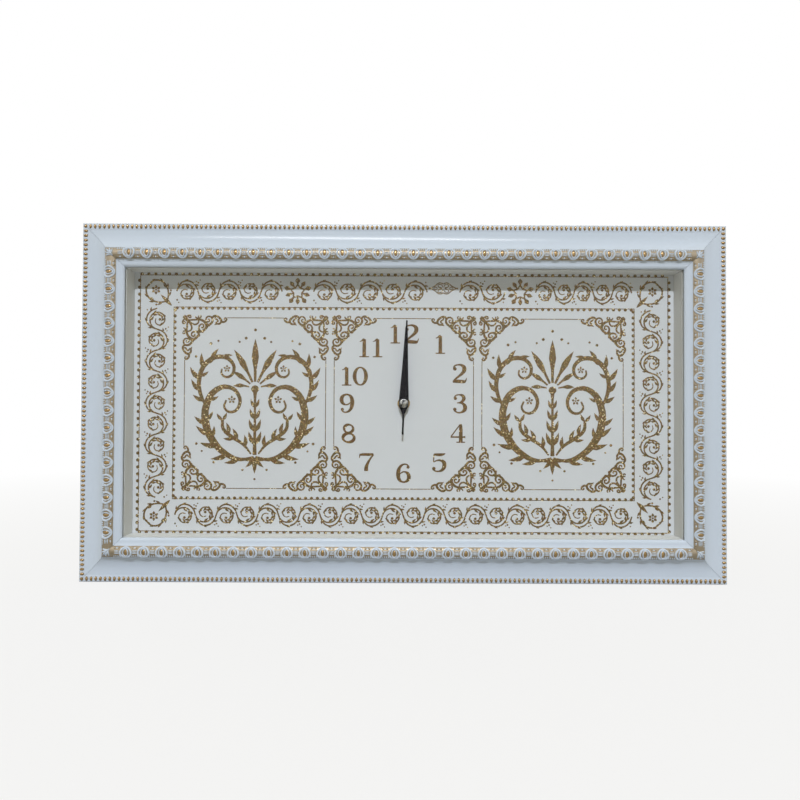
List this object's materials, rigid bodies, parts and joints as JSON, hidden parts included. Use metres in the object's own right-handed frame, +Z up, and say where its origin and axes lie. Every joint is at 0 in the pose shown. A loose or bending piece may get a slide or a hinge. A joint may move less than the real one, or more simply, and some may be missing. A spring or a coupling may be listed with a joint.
{
  "type": "canvas clock",
  "caption": "Oblong framed wall clock: white and gilt moulded frame, glazed shadow box, gold-printed white canvas with a round dial, black hands and a battery movement behind.",
  "frame": {"origin": "on the wall plane, at mid-width of the top rail's outer leg, 7 mm under the frame's top edge", "axes": "+X right along the width as the viewer sees it, +Y from the front into the wall, +Z up"},
  "size_m": [0.68, 0.0541, 0.378],
  "materials": {
    "frame_white": "moulded polystyrene, glossy, faintly cool white",
    "gilt": "old-gold foil on the beads and egg moulding",
    "box_white": "satin white",
    "canvas": "primed white canvas with a fine weave",
    "gold_glitter": "printed ornament in gold glitter",
    "numeral_gold": "printed numerals in dull gold",
    "hardboard": "brown hardboard",
    "glass": "clear float glass",
    "steel": "zinc-plated",
    "brass": "plated brass",
    "chrome": "polished",
    "copper": "enamelled copper wire",
    "black_plastic": "moulded, fine texture",
    "hand_black": "black satin paint on aluminium",
    "gear_plastic": "natural acetal",
    "rubber": "soft black",
    "circuit": "green circuit laminate",
    "battery_wrap": "plain grey sleeve, bare of marks"
  },
  "bodies": {
    "clock": {"frame_rail_top": "frame_white", "frame_rail_left": "frame_white", "frame_rail_bottom": "frame_white", "frame_rail_right": "frame_white", "spacer_top": "box_white", "spacer_left": "box_white", "spacer_bottom": "box_white", "spacer_right": "box_white", "glazing_point_top_1": "steel", "glazing_point_top_2": "steel", "glazing_point_top_3": "steel", "glazing_point_left_1": "steel", "glazing_point_bottom_1": "steel", "glazing_point_bottom_2": "steel", "glazing_point_bottom_3": "steel", "glazing_point_right_1": "steel", "corner_nail_bottom_left": "steel", "corner_nail_bottom_right": "steel", "corner_nail_top_right": "steel", "corner_nail_top_left": "steel", "hanger_left": "steel", "hanger_right": "steel", "hanger_nail_1": "steel", "hanger_nail_2": "steel", "hanger_nail_3": "steel", "hanger_nail_4": "steel", "glass_pane": "glass", "canvas_print": "canvas", "backing_board": "hardboard", "movement_case": "black_plastic", "movement_back": "black_plastic", "gasket": "rubber", "mounting_washer": "brass", "mounting_nut": "brass", "stator": "steel", "timing_crystal": "steel", "contact_plus": "steel", "contact_minus": "steel", "coil": "copper", "circuit_board": "circuit"},
    "hour": {"hour_wheel": "gear_plastic", "hour_hand": "hand_black"},
    "minute": {"minute_shaft": "gear_plastic", "minute_hand": "hand_black", "minute_nut": "chrome"},
    "second": {"second_staff": "steel", "second_hand": "hand_black", "second_hand_cap": "chrome"},
    "minute_wheel": {"minute_wheel": "gear_plastic"},
    "work_wheel": {"minute_work_wheel": "gear_plastic"},
    "knob": {"setting_knob": "gear_plastic"},
    "third": {"third_wheel": "gear_plastic"},
    "fifth": {"fifth_wheel": "gear_plastic"},
    "rotor": {"rotor": "gear_plastic"},
    "battery": {"battery": "battery_wrap"}
  },
  "joints": [
    {"name": "second_hand_turn", "type": "hinge", "parent": "clock", "child": "second", "pos_m": [0, -0.009, -0.182], "axis": [0, 1, 0], "continuous": true},
    {"name": "minute_hand_turn", "type": "hinge", "parent": "clock", "child": "minute", "pos_m": [0, -0.009, -0.182], "axis": [0, 1, 0], "continuous": true},
    {"name": "hour_hand_turn", "type": "hinge", "parent": "clock", "child": "hour", "pos_m": [0, -0.009, -0.182], "axis": [0, 1, 0], "continuous": true},
    {"name": "minute_wheel_turn", "type": "hinge", "parent": "clock", "child": "minute_wheel", "pos_m": [0, -0.009, -0.182], "axis": [0, 1, 0], "continuous": true},
    {"name": "work_wheel_turn", "type": "hinge", "parent": "clock", "child": "work_wheel", "pos_m": [-0.00866, -0.009, -0.177], "axis": [0, 1, 0], "continuous": true},
    {"name": "setting_knob_turn", "type": "hinge", "parent": "clock", "child": "knob", "pos_m": [-0.01366, -0.009, -0.16834], "axis": [0, 1, 0], "continuous": true},
    {"name": "third_wheel_turn", "type": "hinge", "parent": "clock", "child": "third", "pos_m": [0.00544, -0.009, -0.17257], "axis": [0, 1, 0], "continuous": true},
    {"name": "fifth_wheel_turn", "type": "hinge", "parent": "clock", "child": "fifth", "pos_m": [0.01053, -0.009, -0.18292], "axis": [0, 1, 0], "continuous": true},
    {"name": "rotor_turn", "type": "hinge", "parent": "clock", "child": "rotor", "pos_m": [0.01804, -0.009, -0.17662], "axis": [0, 1, 0], "continuous": true},
    {"name": "battery_slide", "type": "slide", "parent": "clock", "child": "battery", "axis": [0, 1, 0], "range_m": [0, 0.02]}
  ],
  "couplings": [
    {"joint": "hour_hand_turn", "follows": "minute_hand_turn", "ratio": 0.083333},
    {"joint": "work_wheel_turn", "follows": "minute_hand_turn", "ratio": -0.33333},
    {"joint": "setting_knob_turn", "follows": "minute_hand_turn", "ratio": 1},
    {"joint": "minute_wheel_turn", "follows": "second_hand_turn", "ratio": 0.016667},
    {"joint": "third_wheel_turn", "follows": "second_hand_turn", "ratio": -0.125},
    {"joint": "fifth_wheel_turn", "follows": "second_hand_turn", "ratio": -5},
    {"joint": "rotor_turn", "follows": "second_hand_turn", "ratio": 30}
  ]
}
